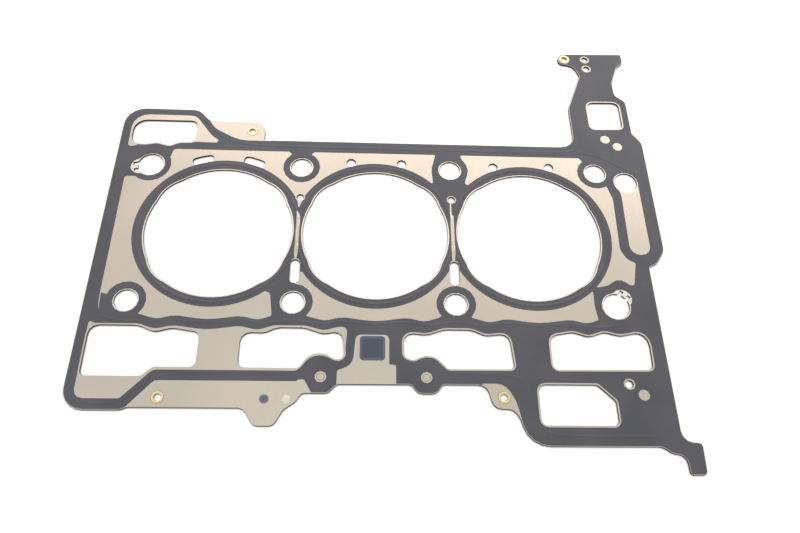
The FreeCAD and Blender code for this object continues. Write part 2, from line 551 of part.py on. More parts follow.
def tongue_slots():
    """Return the two slots that free the gripping tongue beside each sleeve hole."""
    slots = []
    start = size("sleeve_hole_radius") / 2
    length = size("sleeve_hole_radius") - size("ledge") + size("tongue_slot_depth") - start
    for x, y, direction in TONGUES:
        angle = math.radians(direction)
        for sign in (1, -1):
            aside = sign * (size("tongue_width") + size("tongue_slot_width")) / 2
            near_x = x + start * math.cos(angle) - aside * math.sin(angle)
            near_y = y + start * math.sin(angle) + aside * math.cos(angle)
            slots.append(rounded(box_points(near_x, near_y, direction, length, size("tongue_slot_width"))))
    return slots


# Carrier layer

CARRIER_Z = "0.0"
carrier = new_body("carrier_layer")
outlines = [rounded(OUTLINE)] + layer_openings(size("ledge"))
drawing = outline_sketch(carrier, "carrier_outline", CARRIER_Z, outlines)
add_circles(drawing, layer_circles(" - Sizes.ledge"))
pad(carrier, drawing, "Sizes.carrier_thickness")
pocket(carrier, outline_sketch(carrier, "carrier_tongue_slots", CARRIER_Z, tongue_slots()))
drawing = new_sketch(carrier, "eyelet_seats", CARRIER_Z)
add_circles(drawing, [(EYELETS.values(), "Sizes.eyelet_flange_radius + Sizes.eyelet_clearance")])
seats = pocket(carrier, drawing)
seats.Type = "Length"
seats.Midplane = False
seats.Reversed = True
seats.setExpression("Length", "Sizes.eyelet_flange_thickness")

# Upper layer with the bore beads

SHEET_Z = "Sizes.carrier_thickness"
SHEET_TOP_Z = SHEET_Z + " + Sizes.sheet_thickness"
TONGUE_WINDOWS = [
    (x + size("tongue_window_offset") * math.cos(math.radians(angle)),
     y + size("tongue_window_offset") * math.sin(math.radians(angle)))
    for x, y, angle in TONGUES
]
upper = new_body("upper_layer")
outlines = [rounded(OUTLINE)] + layer_openings(0.0)
drawing = outline_sketch(upper, "upper_outline", SHEET_Z, outlines)
add_circles(drawing, layer_circles(""))
pad(upper, drawing, "Sizes.sheet_thickness")
drawing = new_sketch(upper, "upper_tongue_windows", SHEET_Z)
add_circles(drawing, [(TONGUE_WINDOWS, "Sizes.tongue_window_radius")])
pocket(upper, drawing)
ring_beads(upper, "upper_bead_crest", "Revolution", SHEET_TOP_Z, size("sheet_thickness") / 2)
ring_beads(upper, "upper_bead_hollow", "Groove", SHEET_Z, 1.0)

# Bare fields of the print, less the rings round the bores and the bolts

BARE_DEPTH = "Sizes.sheet_thickness + 2 * Sizes.bead_height"
bare = new_body("bare_fields")
outlines = [rounded(field) for field in FIELDS]
pad(bare, outline_sketch(bare, "wide_fields", SHEET_Z, outlines), BARE_DEPTH)
for number, bore_x in enumerate(BORES):
    drawing = new_sketch(bare, "bore_ring_%d" % number, SHEET_Z)
    add_circles(drawing, [([(bore_x, 0)], "Sizes.bore_radius + Sizes.bore_ring_width")])
    pocket(bare, drawing)
bolt_ring = size("bolt_hole_radius") + size("bolt_ring_width")
sleeve_ring = size("sleeve_hole_radius") + size("sleeve_ring_width")
outlines = [round_mark(x, y, bolt_ring) for x, y in PLAIN_BOLTS]
outlines += [round_mark(x, y, sleeve_ring) for x, y in SLEEVE_BOLTS]
pocket(bare, outline_sketch(bare, "bolt_rings", SHEET_Z, outlines))
outlines = [rounded(field) for field in THIN_FIELDS]
outlines += [round_mark(x, y, size("tongue_window_radius")) for x, y in TONGUE_WINDOWS]
pad(bare, outline_sketch(bare, "thin_fields", SHEET_Z, outlines), BARE_DEPTH)

# Sealing print

PRINT_TOP_Z = SHEET_TOP_Z + " + Sizes.print_thickness"
coat = new_body("sealing_print")
outlines = [rounded(grown(OUTLINE, -size("edge_margin")))]
outlines += [bore_outline(x, 0.0) for x in BORES]
outlines += [rounded(grown(window, size("rim_width"))) for window in WINDOWS]
outlines += [grown_slot(x) for x in BRIDGE_SLOTS]
outlines += [arched_slot(*place) for place in ARCHED_SLOTS]
ROUND_MARKS = (
    (PLAIN_BOLTS, size("bolt_hole_radius")),
    (SLEEVE_BOLTS, size("sleeve_hole_radius")),
    ([OIL_HOLE], size("oil_hole_radius")),
    (WATER_HOLES, size("water_hole_radius")),
    (BRIDGE_HOLES, size("bridge_hole_radius") + size("slot_print_margin")),
    (SERVICE_HOLES, size("service_hole_radius") + size("rim_width")),
    (BARE_DISCS, size("bare_disc_radius")),
    ([EYELETS["eyelet_tall_end"]], size("eyelet_flange_radius") + size("slot_print_margin")),
)
for places, radius in ROUND_MARKS:
    outlines += [round_mark(x, y, radius) for x, y in places]
pad(coat, outline_sketch(coat, "print_outline", SHEET_TOP_Z, outlines), "Sizes.print_thickness")
ring_beads(coat, "print_bead_crest", "Revolution", PRINT_TOP_Z, size("print_thickness") / 2)
ring_beads(coat, "print_bead_hollow", "Groove", SHEET_TOP_Z, 1.0)
print_cut = coat.newObject("PartDesign::Boolean", "bare_fields_cut")
print_cut.Type = "Cut"
print_cut.Refine = False
print_cut.setObjects([bare])
coat.Tip = print_cut

# Eyelets that hold the layers together

for label, (x, y) in EYELETS.items():
    eyelet = new_body(label)
    drawing = new_sketch(eyelet, label + "_section", "0.0", "XZ_Plane")
    inner = size("eyelet_hole_radius")
    barrel = inner + size("eyelet_wall")
    flange = size("eyelet_flange_radius")
    thick = size("eyelet_flange_thickness")
    section = [
        (inner, 0), (flange - thick, 0), (flange, thick), (barrel, thick), (barrel, SHEET_TOP),
        (flange, SHEET_TOP), (flange - thick, SHEET_TOP + thick), (inner, SHEET_TOP + thick),
    ]
    drawing.addGeometry(rounded([(r, z, 0) for r, z in section]), False)
    feature = eyelet.newObject("PartDesign::Revolution", label + "_turned")
    feature.Profile = drawing
    feature.ReferenceAxis = (drawing, ["V_Axis"])
    feature.Angle = 360.0
    drawing.Visibility = False
    eyelet.Tip = feature
    eyelet.Placement = FreeCAD.Placement(FreeCAD.Vector(x, y, 0), FreeCAD.Rotation())

# Ink marks on the bare steel

code_field = new_body("code_field")
half_width = size("code_field_width") / 2
half_length = size("code_field_length") / 2
signs = ((-1, -1), (1, -1), (1, 1), (-1, 1))
square = [(x * half_width, y * half_length, size("code_field_corner")) for x, y in signs]
drawing = outline_sketch(code_field, "code_field_outline", "0.0", [rounded(square)])
pad(code_field, drawing, "Sizes.ink_thickness")
code_field.Placement.Base = FreeCAD.Vector(CODE_FIELD_CENTRE[0], CODE_FIELD_CENTRE[1], SHEET_TOP)
register_dot = doc.addObject("Part::Cylinder", "register_dot")
register_dot.setExpression("Radius", "Sizes.register_dot_radius")
register_dot.setExpression("Height", "Sizes.ink_thickness")
register_dot.Placement.Base = FreeCAD.Vector(REGISTER_DOT[0], REGISTER_DOT[1], SHEET_TOP)

doc.recompute()

# Check and write the parts

PARTS = ["carrier_layer", "upper_layer", "sealing_print", "code_field", "register_dot"] + list(EYELETS)
for item in doc.Objects:
    if "Invalid" in item.State or "Error" in item.State:
        raise ValueError("%s did not recompute" % item.Name)
os.makedirs("parts", exist_ok=True)
for name in PARTS:
    item = doc.getObject(name)
    item.Label = name
    if item.Shape.isNull() or not item.Shape.isValid():
        raise ValueError("%s has no valid shape" % name)
    item.Shape.exportStep("parts/%s.step" % name)
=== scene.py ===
import logging
import math
from dataclasses import dataclass
from enum import Enum

import bmesh
import bpy
from mathutils import Euler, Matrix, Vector


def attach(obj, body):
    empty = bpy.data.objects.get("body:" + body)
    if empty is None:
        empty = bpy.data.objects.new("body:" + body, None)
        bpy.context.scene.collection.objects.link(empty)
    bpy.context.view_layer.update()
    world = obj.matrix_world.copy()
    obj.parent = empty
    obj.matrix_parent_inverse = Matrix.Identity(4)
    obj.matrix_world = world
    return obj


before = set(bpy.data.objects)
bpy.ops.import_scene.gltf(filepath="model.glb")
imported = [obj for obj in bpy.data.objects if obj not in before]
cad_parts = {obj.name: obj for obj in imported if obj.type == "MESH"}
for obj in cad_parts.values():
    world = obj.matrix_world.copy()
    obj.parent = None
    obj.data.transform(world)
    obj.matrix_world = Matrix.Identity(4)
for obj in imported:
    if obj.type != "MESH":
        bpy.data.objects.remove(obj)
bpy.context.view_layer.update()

# A three-cylinder head gasket of layered steel, lying flat as photographed from above its front
# edge. Every piece is in the frame of the CAD model: +Z up, the lower face of the gasket at z = 0.
# Blender works in metres. Names that end in _mm, and the sizes of the two pressed pieces, are in
# millimetres. A relief is a strength and a depth in millimetres.

LOG = logging.getLogger("head_gasket")

MM = 0.001
SHEET_TOP = 1.5 * MM
PRINT_TOP = 1.6 * MM
# How far in millimetres a pressed piece lies over the face that carries it, so that the two never
# share a plane.
SKIN = 0.002
# Noise values gather round 0.5. These are the values that count as low and as high.
NOISE_SPAN = (0.3, 0.7)

Pair = tuple[float, float]
Triple = tuple[float, float, float]
Tree = bpy.types.NodeTree
Socket = bpy.types.NodeSocket
Settings = dict[str | int, object]
Links = dict[str | int, Socket]

# Blender's type names of the nodes that are used most
MATH = "ShaderNodeMath"
MIX_COLOUR = "ShaderNodeMix"
MIX_SHADER = "ShaderNodeMixShader"
COLOUR_RAMP = "ShaderNodeValToRGB"
MAP_RANGE = "ShaderNodeMapRange"
SEPARATE = "ShaderNodeSeparateXYZ"
GEOMETRY = "ShaderNodeNewGeometry"
COORDINATES = "ShaderNodeTexCoord"


def linear(hex_colour: str) -> tuple[float, float, float, float]:
    """Turn an sRGB hex colour into the linear colour that a shader takes.

    Args:
        hex_colour: six hex digits after a hash sign.

    Returns:
        Red, green and blue in linear light, and an alpha of 1.
    """
    channels = [int(hex_colour[i : i + 2], 16) / 255 for i in (1, 3, 5)]
    # The two branches of the sRGB standard's own curve
    light = [c / 12.92 if c <= 0.04045 else ((c + 0.055) / 1.055) ** 2.4 for c in channels]
    return (light[0], light[1], light[2], 1.0)


def add_node(
    tree: Tree, kind: str, settings: Settings | None = None, links: Links | None = None
) -> bpy.types.Node:
    """Add one shader node.

    Args:
        tree: the node tree of a material or of the world.
        kind: Blender's type name of the node.
        settings: values by name, of the node's own properties or of its input sockets. A colour
            ramp also takes stops, a list of each stop's place and sRGB hex colour, from low to
            high.
        links: output sockets by the name or number of the input socket that they feed.

    Returns:
        The new node.
    """
    node = tree.nodes.new(kind)
    for name, value in (settings or {}).items():
        if name == "stops":
            elements = node.color_ramp.elements
            while len(elements) < len(value):
                elements.new(0.5)
            for element, (place, hex_colour) in zip(elements, value):
                element.position = place
                element.color = linear(hex_colour)
        elif isinstance(name, str) and hasattr(node, name):
            setattr(node, name, value)
        else:
            node.inputs[name].default_value = value
    for name, socket in (links or {}).items():
        tree.links.new(socket, node.inputs[name])
    return node


def mottling(tree: Tree, spacing_mm: Triple, detail: float) -> Socket:
    """Add a noise whose patches have a real size.

    Args:
        tree: the tree that the noise goes into.
        spacing_mm: size of one patch along X, Y and Z.
        detail: how many finer layers the noise has.

    Returns:
        The noise's value socket.
    """
    place = add_node(tree, COORDINATES).outputs["Object"]
    patches_per_metre = tuple(1 / MM / spacing for spacing in spacing_mm)
    mapped = add_node(tree, "ShaderNodeMapping", {"Scale": patches_per_metre}, {"Vector": place})
    settings = {"Scale": 1.0, "Detail": detail}
    links = {"Vector": mapped.outputs["Vector"]}
    return add_node(tree, "ShaderNodeTexNoise", settings, links).outputs["Fac"]


def textured_surface(
    tree: Tree,
    settings: Settings,
    colour: Socket,
    texture: Socket,
    roughness: Pair,
    relief: Pair | None = None,
) -> Socket:
    """Add a shader whose roughness and relief follow one fine pattern.

    Args:
        tree: the tree that the shader goes into.
        settings: the shader's own values, such as its Metallic or its IOR.
        colour: the base colour's socket.
        texture: the fine pattern's socket.
        roughness: the roughness where the pattern is low, and where it is high.
        relief: the strength of the pattern's relief and its depth in millimetres, if it has any.

    Returns:
        The shader's output socket.
    """
    span = dict(zip(("From Min", "From Max", "To Min", "To Max"), NOISE_SPAN + roughness))
    uneven = add_node(tree, MAP_RANGE, span, {"Value": texture})
    links = {"Base Color": colour, "Roughness": uneven.outputs["Result"]}
    if relief is not None:
        bumpiness = {"Strength": relief[0], "Distance": relief[1] * MM}
        bump = add_node(tree, "ShaderNodeBump", bumpiness, {"Height": texture})
        links["Normal"] = bump.outputs["Normal"]
    return add_node(tree, "ShaderNodeBsdfPrincipled", settings, links).outputs["BSDF"]


# Finishes


@dataclass(frozen=True)
class Finish:
    """What a surface is made of. Each kind of finish adds its own shader."""

    name: str

    def shader(self, tree: Tree) -> Socket:
        """Add the shader to a tree and return its output, which each finish does in its own way."""
        raise NotImplementedError

    def build(self) -> bpy.types.Material:
        """Make the material.

        Returns:
            The new material.
        """
        material = bpy.data.materials.new(self.name)
        material.use_nodes = True
        tree = material.node_tree
        tree.nodes.clear()
        add_node(tree, "ShaderNodeOutputMaterial", links={"Surface": self.shader(tree)})
        return material


@dataclass(frozen=True)
class RolledStainless(Finish):
    """Cold-rolled stainless steel, bare. Satin and slightly warm, with a fine rolling grain."""

    name: str = "rolled_stainless"
    bright: str = "#C6BAAC"
    shade: str = "#B8B3A5"
    roughness: Pair = (0.28, 0.38)
    relief: Pair = (0.10, 0.02)
    grain_mm: Triple = (0.35, 6.0, 0.35)
    cloud_mm: float = 60.0

    def shader(self, tree: Tree) -> Socket:
        """Add the steel's shader, with broad clouds under the grain.

        Real grain is near 0.05 mm wide and is drawn at 0.35 mm, so that it shows.

        Args:
            tree: the tree that it goes into.

        Returns:
            The shader's output socket.
        """
        grain = mottling(tree, self.grain_mm, 4.0)
        cloud = mottling(tree, (self.cloud_mm,) * 3, 2.0)
        stops = [(0.30, self.shade), (0.70, self.bright)]
        colour = add_node(tree, COLOUR_RAMP, {"stops": stops}, {"Fac": cloud}).outputs["Color"]
        return textured_surface(tree, {"Metallic": 1.0}, colour, grain, self.roughness, self.relief)


@dataclass(frozen=True)
class BakedElastomer(Finish):
    """Screen-printed, baked elastomer. Dark slate, matte, finely pebbled, with specks of dust."""

    name: str = "baked_elastomer"
    light: str = "#61626A"
    dark: str = "#585A61"
    speck: str = "#A39E9C"
    roughness: Pair = (0.38, 0.50)
    relief: Pair = (0.12, 0.03)
    pebble_mm: float = 0.5
    cloud_mm: float = 30.0
    speck_spacing_mm: float = 7.0
    speck_radius_mm: float = 0.22
    # The share of the grid's cells that hold no speck
    speckless_share: float = 0.82

    def specks(self, tree: Tree) -> Socket:
        """Add the mask of the dust: one place in each cell of a grid, and a speck in few of them.

        Args:
            tree: the tree that it goes into.

        Returns:
            The mask's socket, 1 in the middle of a speck and 0 beside it.
        """
        place = add_node(tree, COORDINATES).outputs["Object"]
        cells_per_metre = {"Scale": 1 / MM / self.speck_spacing_mm, "Randomness": 1.0}
        cells = add_node(tree, "ShaderNodeTexVoronoi", cells_per_metre, {"Vector": place})
        reach = self.speck_radius_mm / self.speck_spacing_mm
        fall = {"From Min": 0.0, "From Max": reach, "To Min": 1.0, "To Max": 0.0}
        dot = add_node(tree, MAP_RANGE, fall, {"Value": cells.outputs["Distance"]})
        chance = add_node(tree, "ShaderNodeSeparateColor", links={"Color": cells.outputs["Color"]})
        limit = {"operation": "GREATER_THAN", 1: self.speckless_share}
        few = add_node(tree, MATH, limit, {0: chance.outputs["Red"]})
        links = {0: dot.outputs["Result"], 1: few.outputs["Value"]}
        return add_node(tree, MATH, {"operation": "MULTIPLY"}, links).outputs["Value"]

    def shader(self, tree: Tree) -> Socket:
        """Add the print's shader.

        The real pebble is near 0.1 mm and is drawn at 0.5 mm, so that it shows.

        Args:
            tree: the tree that it goes into.

        Returns:
            The shader's output socket.
        """
        pebble = mottling(tree, (self.pebble_mm,) * 3, 2.0)
        cloud = mottling(tree, (self.cloud_mm,) * 3, 3.0)
        stops = [(0.38, self.dark), (0.62, self.light)]
        clean = add_node(tree, COLOUR_RAMP, {"stops": stops}, {"Fac": cloud}).outputs["Color"]
        speckled = {"data_type": "RGBA", 7: linear(self.speck)}
        colour = add_node(tree, MIX_COLOUR, speckled, {0: self.specks(tree), 6: clean}).outputs[2]
        return textured_surface(tree, {"IOR": 1.5}, colour, pebble, self.roughness, self.relief)


@dataclass(frozen=True)
class ShadedShearedEdge(Finish):
    """The blanked edge of steel sheet: torn, rough and dull. Its dark colour is partly its own and
    partly painted shade.
    """

    name: str = "sheared_edge_painted_shade"
    # Both tones are darker than the rough edge's own colour: painted shade on walls that face
    # sideways
    light: str = "#5C4D45"
    dark: str = "#221D1B"
    roughness: Pair = (0.5, 0.7)
    tear_mm: Triple = (0.5, 0.5, 0.3)

    def shader(self, tree: Tree) -> Socket:
        """Add the edge's shader.

        Real tear marks are near 0.1 mm apart and are drawn at 0.5 mm, so that they show.

        Args:
            tree: the tree that it goes into.

        Returns:
            The shader's output socket.
        """
        tear = mottling(tree, self.tear_mm, 3.0)
        stops = [(0.35, self.dark), (0.65, self.light)]
        colour = add_node(tree, COLOUR_RAMP, {"stops": stops}, {"Fac": tear}).outputs["Color"]
        return textured_surface(tree, {"Metallic": 1.0}, colour, tear, self.roughness)


@dataclass(frozen=True)
class BlankedSheet(Finish):
    """A blanked sheet: one finish above, one below, and torn edges in painted shade where it faces
    sideways.
    """

    above: RolledStainless
    below: RolledStainless | BakedElastomer
    edge: ShadedShearedEdge = ShadedShearedEdge()
    # The surface is an edge where the height of its normal lies between minus and plus this
    facing_limit: float = 0.5

    def shader(self, tree: Tree) -> Socket:
        """Add the three finishes and choose between them by the way that the surface faces.

        Args:
            tree: the tree that they go into.

        Returns:
            The last mix's output socket.
        """
        normal = add_node(tree, GEOMETRY).outputs["Normal"]
        height = add_node(tree, SEPARATE, links={"Vector": normal}).outputs["Z"]
        up = add_node(tree, MATH, {"operation": "GREATER_THAN", 1: self.facing_limit}, {0: height})
        down = add_node(tree, MATH, {"operation": "LESS_THAN", 1: -self.facing_limit}, {0: height})
        # Walls that face sideways get the edge's dark colours, which are partly painted shade
        links = {0: up.outputs["Value"], 1: self.edge.shader(tree), 2: self.above.shader(tree)}
        bare = add_node(tree, MIX_SHADER, links=links).outputs["Shader"]
        links = {0: down.outputs["Value"], 1: bare, 2: self.below.shader(tree)}
        return add_node(tree, MIX_SHADER, links=links).outputs["Shader"]


@dataclass(frozen=True)
class RolledBrass(Finish):
    """Thin pale brass, drawn and rolled over. Bright and warm, faintly scuffed by the tool."""

    name: str = "rolled_brass"
    # Painted highlight on the crest, painted shade on the flanks and deeper painted shade inside
    # the eyelet
    bright: str = "#E8D3A0"
    shade: str = "#A98443"
    throat_shade: str = "#96743A"
    roughness: Pair = (0.20, 0.30)
    relief: Pair = (0.08, 0.01)
    fine_mm: float = 0.4

    def shader(self, tree: Tree) -> Socket:
        """Add the brass: a painted highlight where the roll faces up, painted shade on its flanks
        and inside the eyelet.

        Real scuffs are near 0.05 mm apart and are drawn at 0.4 mm, so that they show.

        Args:
            tree: the tree that it goes into.

        Returns:
            The shader's output socket.
        """
        normal = add_node(tree, GEOMETRY).outputs["Normal"]
        height = add_node(tree, SEPARATE, links={"Vector": normal}).outputs["Z"]
        fine = mottling(tree, (self.fine_mm,) * 3, 2.0)
        # Colour by the height of the normal, which paints the highlight and the shade
        stops = [(0.10, self.throat_shade), (0.72, self.shade), (0.97, self.bright)]
        colour = add_node(tree, COLOUR_RAMP, {"stops": stops}, {"Fac": height}).outputs["Color"]
        return textured_surface(tree, {"Metallic": 1.0}, colour, fine, self.roughness, self.relief)


class Outline(Enum):
    """The outline of an ink mark, which the band along its edge follows."""

    SQUARE = "square"
    ROUND = "round"


@dataclass(frozen=True)
class PrintedInk(Finish):
    """Thin blue-grey ink printed on bare steel. Matte, uneven, and paler along its edge."""

    centre_mm: Pair
    inner_mm: float
    outline: Outline
    body: str = "#4F5566"
    body_light: str = "#585E6F"
    band: str = "#6A7183"
    roughness: Pair = (0.42, 0.55)
    band_blur_mm: float = 0.5
    grain_mm: float = 0.7

    def distance(self, tree: Tree) -> Socket:
        """Add the distance from the mark's centre, measured the way that its outline runs.

        Args:
            tree: the tree that it goes into.

        Returns:
            The distance's socket, in metres.
        """
        place = add_node(tree, COORDINATES).outputs["Object"]
        middle = (-self.centre_mm[0] * MM, -self.centre_mm[1] * MM, 0.0)
        moved = add_node(tree, "ShaderNodeMapping", {"Location": middle}, {"Vector": place})
        axes = add_node(tree, SEPARATE, links={"Vector": moved.outputs["Vector"]}).outputs
        sides = [add_node(tree, MATH, {"operation": "ABSOLUTE"}, {0: axes[name]}) for name in "XY"]
        if self.outline is Outline.SQUARE:
            links = {number: side.outputs["Value"] for number, side in enumerate(sides)}
            return add_node(tree, MATH, {"operation": "MAXIMUM"}, links).outputs["Value"]
        square = {"operation": "POWER", 1: 2.0}
        squares = [add_node(tree, MATH, square, {0: side.outputs["Value"]}) for side in sides]
        links = {number: node.outputs["Value"] for number, node in enumerate(squares)}
        total = add_node(tree, MATH, {"operation": "ADD"}, links).outputs["Value"]
        return add_node(tree, MATH, {"operation": "SQRT"}, {0: total}).outputs["Value"]

    def shader(self, tree: Tree) -> Socket:
        """Add the ink's shader. The band starts where the distance from the centre passes inner_mm.

        The real ink's unevenness is near 0.1 mm fine and is drawn at 0.7 mm, so that it shows.

        Args:
            tree: the tree that it goes into.

        Returns:
            The shader's output socket.
        """
        outer_mm = self.inner_mm + self.band_blur_mm
        start = {"From Min": self.inner_mm * MM, "From Max": outer_mm * MM}
        band = add_node(tree, MAP_RANGE, start, {"Value": self.distance(tree)}).outputs["Result"]
        grain = mottling(tree, (self.grain_mm,) * 3, 2.0)
        stops = [(0.35, self.body), (0.65, self.body_light)]
        body = add_node(tree, COLOUR_RAMP, {"stops": stops}, {"Fac": grain}).outputs["Color"]
        edged = {"data_type": "RGBA", 7: linear(self.band)}
        colour = add_node(tree, MIX_COLOUR, edged, {0: band, 6: body}).outputs[2]
        return textured_surface(tree, {"IOR": 1.48}, colour, grain, self.roughness)


@dataclass(frozen=True)
class StudioPaper(Finish):
    """Matte white seamless paper that the gasket lies on."""

    name: str = "studio_paper"
    paper: str = "#F4F4F4"
    # How far the paper is lifted towards white, and how near to the gasket that lift fades into
    # painted contact shadow
    lift: float = 0.72
    contact_mm: float = 1.0
    contact_fall: float = 2.0
    contact_samples: int = 16

    def lifted(self, tree: Tree) -> Socket:
        """Add the paper as it is seen: lifted towards white, and darkened close beside the gasket
        as painted contact shadow.

        Args:
            tree: the tree that it goes into.

        Returns:
            The shader's output socket.
        """
        near = {
            "Color": linear(self.paper),
            "Distance": self.contact_mm * MM,
            "samples": self.contact_samples,
        }
        # Painted contact shadow: occlusion darkens the paper's colour and its lift beside the
        # gasket
        contact = add_node(tree, "ShaderNodeAmbientOcclusion", near).outputs
        matte = add_node(tree, "ShaderNodeBsdfDiffuse", links={"Color": contact["Color"]})
        fall = {"operation": "POWER", 1: self.contact_fall}
        free = add_node(tree, MATH, fall, {0: contact["AO"]})
        lift = {"operation": "MULTIPLY", 1: self.lift}
        amount = add_node(tree, MATH, lift, {0: free.outputs["Value"]}).outputs["Value"]
        glow = add_node(tree, "ShaderNodeEmission", links={"Strength": amount})
        links = {0: matte.outputs["BSDF"], 1: glow.outputs["Emission"]}
        return add_node(tree, "ShaderNodeAddShader", links=links).outputs["Shader"]

    def shader(self, tree: Tree) -> Socket:
        """Add the paper as it is seen straight from above, and clear to all else.

        Light from below passes it, so that the gasket's lower face can be seen as well.

        Args:
            tree: the tree that it goes into.

        Returns:
            The mix's output socket.
        """
        lifted = self.lifted(tree)
        straight = add_node(tree, "ShaderNodeLightPath").outputs["Is Camera Ray"]
        behind = add_node(tree, GEOMETRY).outputs["Backfacing"]
        shown = add_node(tree, MATH, {"operation": "GREATER_THAN"}, {0: straight, 1: behind})
        clear = add_node(tree, "ShaderNodeBsdfTransparent").outputs["BSDF"]
        links = {0: shown.outputs["Value"], 1: clear, 2: lifted}
        return add_node(tree, MIX_SHADER, links=links).outputs["Shader"]


# Pieces


def paint(node: str, material: bpy.types.Material) -> None:
    """Put a material in every slot of a CAD node.

    Args:
        node: the node's name.
        material: the finish that it gets.
    """
    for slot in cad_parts[node].material_slots:
        slot.material = material
    LOG.info("dressed %s in %s", node, material.name)


def softened(points: tuple[Pair, ...], rounds: int = 3) -> list[Pair]:
    """Cut the corners of an open line again and again until it runs smoothly.

    Args:
        points: the line's corners in millimetres.
        rounds: how many times the corners are cut, each time a quarter of the way along.

    Returns:
        The smooth line's points, with the same ends.
    """
    line = list(points)
    for _ in range(rounds):
        cut = [line[0]]
        for (ax, ay), (bx, by) in zip(line, line[1:]):
            cut.append((0.75 * ax + 0.25 * bx, 0.75 * ay + 0.25 * by))
            cut.append((0.25 * ax + 0.75 * bx, 0.25 * ay + 0.75 * by))
        line = cut + [line[-1]]
    return line


def smooth_piece(name: str, mesh: bmesh.types.BMesh) -> bpy.types.Object:
    """Make a smooth-shaded object of a finished mesh and put it in the scene.

    Args:
        name: the piece's name.
        mesh: its mesh, which is freed.

    Returns:
        The new object, still without a material.
    """
    data = bpy.data.meshes.new(name)
    mesh.to_mesh(data)
    mesh.free()
    for face in data.polygons:
        face.use_smooth = True
    piece = bpy.data.objects.new(name, data)
    bpy.context.scene.collection.objects.link(piece)
    LOG.info("made %s with %d faces", name, len(data.polygons))
    return piece


@dataclass
class LayerStack:
    """The steel layers, the baked print and the ink marks, which the CAD model already shapes."""

    # Only the plate's ledges are bare, and they are brighter than the sheet over them
    carrier_steel: RolledStainless = RolledStainless(
        bright="#E4DCD0", shade="#D6CCBE", roughness=(0.32, 0.46)
    )
    spring_steel: RolledStainless = RolledStainless()
    elastomer: BakedElastomer = BakedElastomer()
    code_ink: PrintedInk = PrintedInk(
        name="code_ink", centre_mm=(-1.1, -73.1), inner_mm=5.3, outline=Outline.SQUARE
    )
    register_ink: PrintedInk = PrintedInk(
        name="register_ink",
        centre_mm=(-57.5, -102.0),
        inner_mm=1.5,
        outline=Outline.ROUND,
        body="#6E7283",
        body_light="#787C8C",
        band="#8F93A0",
    )

    def dress(self) -> None:
        """Give each layer its real finish. The carrier's lower face is printed like the top."""
        finishes = {
            "carrier_layer": BlankedSheet("coated_carrier", self.carrier_steel, self.elastomer),
            "upper_layer": BlankedSheet("spring_sheet", self.spring_steel, self.spring_steel),
            "sealing_print": self.elastomer,
            "code_field": self.code_ink,
            "register_dot": self.register_ink,
        }
        for node, finish in finishes.items():
            paint(node, finish.build())


@dataclass
class EyeletSet:
    """The four rolled eyelets that hold the layers together."""

    names: tuple[str, ...] = (
        "eyelet_back_left",
        "eyelet_front_left",
        "eyelet_front_right",
        "eyelet_tall_end",
    )

    def dress(self) -> None:
        """Give the eyelets their brass."""
        brass = RolledBrass().build()
        for node in self.names:
            paint(node, brass)


